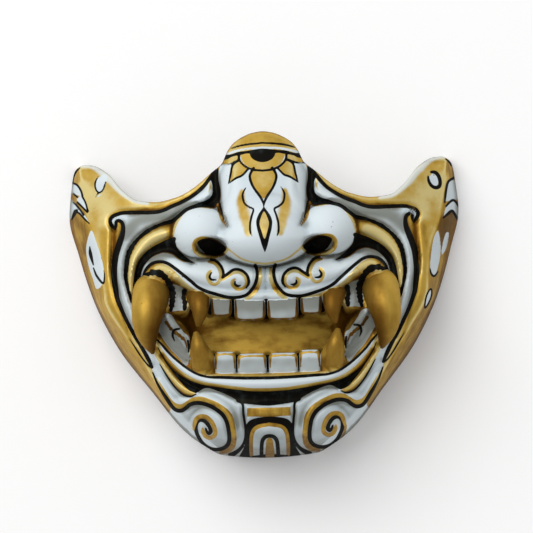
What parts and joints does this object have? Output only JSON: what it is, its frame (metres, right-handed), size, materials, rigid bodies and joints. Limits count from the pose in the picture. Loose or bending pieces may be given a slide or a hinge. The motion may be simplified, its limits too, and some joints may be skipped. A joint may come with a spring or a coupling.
{
  "type": "oni half mask",
  "caption": "Oni half mask in painted cast resin, with flared cheek wings, tusks, fangs, teeth and scrolled chin over a hollow back.",
  "frame": {"origin": "under the middle of the bounding box, on the plane of the rim that the mask lies on", "axes": "+X to the right side of the mask as seen from the front, wing to wing; +Y from the chin to the top of the nose; +Z out of the face"},
  "size_m": [0.1954, 0.1634, 0.0948],
  "materials": {
    "painted_resin": "hand-painted white, antique gold and black, satin"
  },
  "bodies": {
    "root": {"mask_shell": "painted_resin"}
  },
  "joints": []
}
